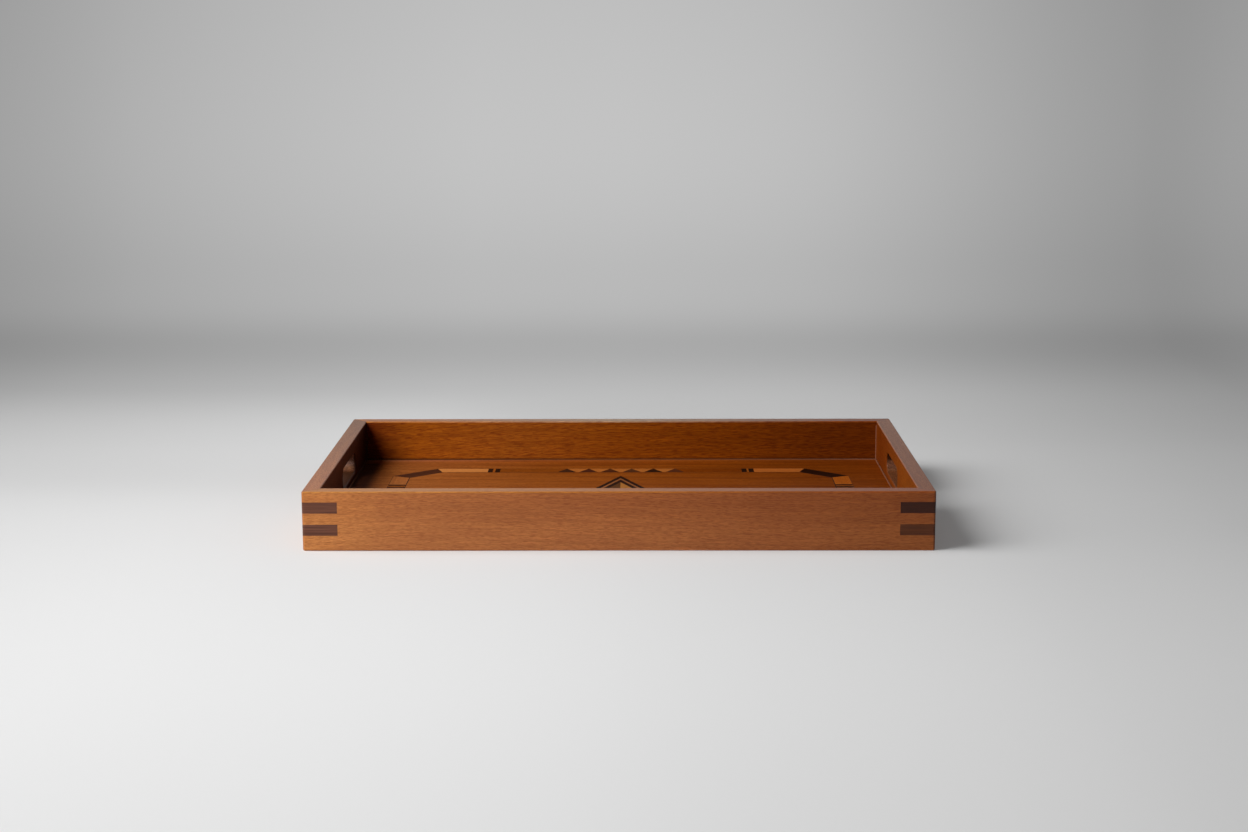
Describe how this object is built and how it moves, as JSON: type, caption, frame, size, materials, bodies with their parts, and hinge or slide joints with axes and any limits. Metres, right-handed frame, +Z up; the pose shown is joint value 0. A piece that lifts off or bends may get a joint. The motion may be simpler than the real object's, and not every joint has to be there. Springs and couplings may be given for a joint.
{
  "type": "marquetry tray",
  "caption": "Rectangular wooden serving tray: mitred and keyed frame with rounded hand slots in its ends, round a floor inlaid with an octagonal band and a lozenge.",
  "frame": {"origin": "middle of the tray's length and width, on the surface that it stands on", "axes": "+X along the length, +Y towards the back wall, +Z up"},
  "size_m": [0.5, 0.31, 0.048],
  "materials": {
    "frame_wood": "satin lacquered orange-brown hardwood, straight grain",
    "key_walnut": "satin lacquered dark walnut",
    "core_plywood": "plywood, edges hidden in the groove",
    "backing_veneer": "plain veneer, sealed",
    "field_veneer": "satin lacquered orange-brown veneer",
    "plain_veneer": "satin lacquered brown veneer, a shade darker",
    "light_veneer": "satin lacquered light orange veneer",
    "dark_veneer": "satin lacquered dark brown veneer",
    "tooth_veneer": "satin lacquered red-brown to near black veneers",
    "bar_veneer": "satin lacquered near black veneer",
    "line_veneer": "satin lacquered dark stringing",
    "lozenge_light_veneer": "satin lacquered pinkish light stringing",
    "heart_dark_veneer": "satin lacquered grey-brown veneer",
    "heart_gold_veneer": "satin lacquered golden veneer"
  },
  "bodies": {
    "root": {"back_left_lower_key": "key_walnut", "back_left_upper_key": "key_walnut", "back_right_lower_key": "key_walnut", "back_right_upper_key": "key_walnut", "back_wall": "frame_wood", "backing_veneer": "backing_veneer", "centre_field": "field_veneer", "dark_diagonal_back_left": "dark_veneer", "dark_diagonal_back_right": "dark_veneer", "dark_diagonal_front_left": "dark_veneer", "dark_diagonal_front_right": "dark_veneer", "dark_teeth_back": "tooth_veneer", "dark_teeth_front": "tooth_veneer", "floor_core": "core_plywood", "front_left_lower_key": "key_walnut", "front_left_upper_key": "key_walnut", "front_right_lower_key": "key_walnut", "front_right_upper_key": "key_walnut", "front_wall": "frame_wood", "inner_line_corners": "line_veneer", "inner_line_long_sides": "line_veneer", "inner_line_short_sides": "line_veneer", "left_end": "frame_wood", "light_block_back_left": "light_veneer", "light_block_back_right": "light_veneer", "light_block_front_left": "light_veneer", "light_block_front_right": "light_veneer", "light_strip_back_left": "light_veneer", "light_strip_back_right": "light_veneer", "light_strip_front_left": "light_veneer", "light_strip_front_right": "light_veneer", "light_teeth_back": "light_veneer", "light_teeth_front": "light_veneer", "long_side_bars": "bar_veneer", "long_side_slips": "light_veneer", "lozenge_border_falling": "bar_veneer", "lozenge_border_rising": "bar_veneer", "lozenge_heart_back_left": "heart_dark_veneer", "lozenge_heart_back_right": "heart_gold_veneer", "lozenge_heart_front_left": "heart_gold_veneer", "lozenge_heart_front_right": "heart_dark_veneer", "lozenge_inner_line_falling": "bar_veneer", "lozenge_inner_line_rising": "bar_veneer", "lozenge_light_line_falling": "lozenge_light_veneer", "lozenge_light_line_rising": "lozenge_light_veneer", "outer_field": "field_veneer", "outer_line_corners": "line_veneer", "outer_line_long_sides": "line_veneer", "outer_line_short_sides": "line_veneer", "plain_strip_back_left": "plain_veneer", "plain_strip_back_right": "plain_veneer", "plain_strip_front_left": "plain_veneer", "plain_strip_front_right": "plain_veneer", "plain_strip_left": "plain_veneer", "plain_strip_right": "plain_veneer", "right_end": "frame_wood", "short_side_bars": "bar_veneer", "short_side_slips": "light_veneer"}
  },
  "joints": []
}
